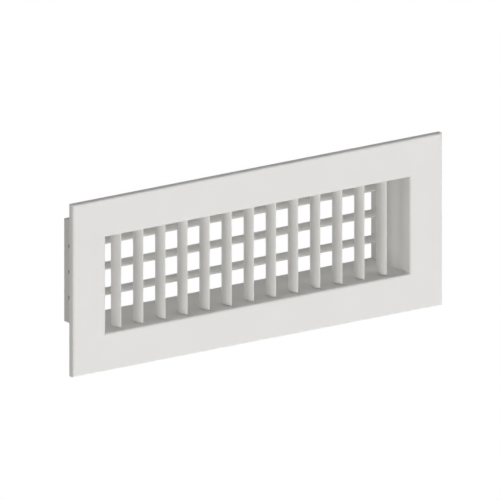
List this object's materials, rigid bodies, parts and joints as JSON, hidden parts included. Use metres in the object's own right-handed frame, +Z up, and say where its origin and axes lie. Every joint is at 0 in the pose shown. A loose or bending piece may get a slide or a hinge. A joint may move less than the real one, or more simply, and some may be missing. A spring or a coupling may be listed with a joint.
{
  "type": "louvred air grille",
  "caption": "Rectangular wall air grille with a flat flange, a deep neck, upright front blades and level rear blades that turn on end pins.",
  "frame": {"origin": "centre of the opening in the wall plane, which is the plane of the flange's back face", "axes": "+X to the right along the grille, +Y into the wall along the neck, +Z up"},
  "size_m": [0.4176, 0.0644, 0.1676],
  "materials": {
    "frame_coat": "satin",
    "blade_coat": "satin",
    "nylon": "matte",
    "foam": "matte",
    "zinc_steel": "satin",
    "spring_steel": "satin"
  },
  "bodies": {
    "frame": {"top_rail": "frame_coat", "bottom_rail": "frame_coat", "left_stile": "frame_coat", "right_stile": "frame_coat", "corner_cleat_top_left": "zinc_steel", "corner_cleat_top_right": "zinc_steel", "corner_cleat_bottom_left": "zinc_steel", "corner_cleat_bottom_right": "zinc_steel", "gasket_top": "foam", "gasket_bottom": "foam", "gasket_left": "foam", "gasket_right": "foam", "spring_clip_top_left": "spring_steel", "spring_clip_top_right": "spring_steel", "spring_clip_bottom_left": "spring_steel", "spring_clip_bottom_right": "spring_steel", "front_bushes_top": "nylon", "front_bushes_bottom": "nylon", "rear_bushes_left": "nylon", "rear_bushes_right": "nylon"},
    "front_vane_01": {"front_blade_01": "blade_coat", "front_pivot_pins_01": "nylon"},
    "front_vane_02": {"front_blade_02": "blade_coat", "front_pivot_pins_02": "nylon"},
    "front_vane_03": {"front_blade_03": "blade_coat", "front_pivot_pins_03": "nylon"},
    "front_vane_04": {"front_blade_04": "blade_coat", "front_pivot_pins_04": "nylon"},
    "front_vane_05": {"front_blade_05": "blade_coat", "front_pivot_pins_05": "nylon"},
    "front_vane_06": {"front_blade_06": "blade_coat", "front_pivot_pins_06": "nylon"},
    "front_vane_07": {"front_blade_07": "blade_coat", "front_pivot_pins_07": "nylon"},
    "front_vane_08": {"front_blade_08": "blade_coat", "front_pivot_pins_08": "nylon"},
    "front_vane_09": {"front_blade_09": "blade_coat", "front_pivot_pins_09": "nylon"},
    "front_vane_10": {"front_blade_10": "blade_coat", "front_pivot_pins_10": "nylon"},
    "front_vane_11": {"front_blade_11": "blade_coat", "front_pivot_pins_11": "nylon"},
    "front_vane_12": {"front_blade_12": "blade_coat", "front_pivot_pins_12": "nylon"},
    "front_vane_13": {"front_blade_13": "blade_coat", "front_pivot_pins_13": "nylon"},
    "rear_vane_1": {"rear_blade_1": "blade_coat", "rear_pivot_pins_1": "nylon"},
    "rear_vane_2": {"rear_blade_2": "blade_coat", "rear_pivot_pins_2": "nylon"},
    "rear_vane_3": {"rear_blade_3": "blade_coat", "rear_pivot_pins_3": "nylon"}
  },
  "joints": [
    {"name": "front_vane_01_turn", "type": "hinge", "parent": "frame", "child": "front_vane_01", "pos_m": [-0.15, 0.0085, 0], "axis": [0, 0, 1], "range_deg": [-90, 90]},
    {"name": "front_vane_02_turn", "type": "hinge", "parent": "frame", "child": "front_vane_02", "pos_m": [-0.125, 0.0085, 0], "axis": [0, 0, 1], "range_deg": [-90, 90]},
    {"name": "front_vane_03_turn", "type": "hinge", "parent": "frame", "child": "front_vane_03", "pos_m": [-0.1, 0.0085, 0], "axis": [0, 0, 1], "range_deg": [-90, 90]},
    {"name": "front_vane_04_turn", "type": "hinge", "parent": "frame", "child": "front_vane_04", "pos_m": [-0.075, 0.0085, 0], "axis": [0, 0, 1], "range_deg": [-90, 90]},
    {"name": "front_vane_05_turn", "type": "hinge", "parent": "frame", "child": "front_vane_05", "pos_m": [-0.05, 0.0085, 0], "axis": [0, 0, 1], "range_deg": [-90, 90]},
    {"name": "front_vane_06_turn", "type": "hinge", "parent": "frame", "child": "front_vane_06", "pos_m": [-0.025, 0.0085, 0], "axis": [0, 0, 1], "range_deg": [-90, 90]},
    {"name": "front_vane_07_turn", "type": "hinge", "parent": "frame", "child": "front_vane_07", "pos_m": [0, 0.0085, 0], "axis": [0, 0, 1], "range_deg": [-90, 90]},
    {"name": "front_vane_08_turn", "type": "hinge", "parent": "frame", "child": "front_vane_08", "pos_m": [0.025, 0.0085, 0], "axis": [0, 0, 1], "range_deg": [-90, 90]},
    {"name": "front_vane_09_turn", "type": "hinge", "parent": "frame", "child": "front_vane_09", "pos_m": [0.05, 0.0085, 0], "axis": [0, 0, 1], "range_deg": [-90, 90]},
    {"name": "front_vane_10_turn", "type": "hinge", "parent": "frame", "child": "front_vane_10", "pos_m": [0.075, 0.0085, 0], "axis": [0, 0, 1], "range_deg": [-90, 90]},
    {"name": "front_vane_11_turn", "type": "hinge", "parent": "frame", "child": "front_vane_11", "pos_m": [0.1, 0.0085, 0], "axis": [0, 0, 1], "range_deg": [-90, 90]},
    {"name": "front_vane_12_turn", "type": "hinge", "parent": "frame", "child": "front_vane_12", "pos_m": [0.125, 0.0085, 0], "axis": [0, 0, 1], "range_deg": [-90, 90]},
    {"name": "front_vane_13_turn", "type": "hinge", "parent": "frame", "child": "front_vane_13", "pos_m": [0.15, 0.0085, 0], "axis": [0, 0, 1], "range_deg": [-90, 90]},
    {"name": "rear_vane_1_turn", "type": "hinge", "parent": "frame", "child": "rear_vane_1", "pos_m": [0, 0.0464, -0.025], "axis": [1, 0, 0], "range_deg": [-90, 90]},
    {"name": "rear_vane_2_turn", "type": "hinge", "parent": "frame", "child": "rear_vane_2", "pos_m": [0, 0.0464, 0], "axis": [1, 0, 0], "range_deg": [-90, 90]},
    {"name": "rear_vane_3_turn", "type": "hinge", "parent": "frame", "child": "rear_vane_3", "pos_m": [0, 0.0464, 0.025], "axis": [1, 0, 0], "range_deg": [-90, 90]}
  ]
}
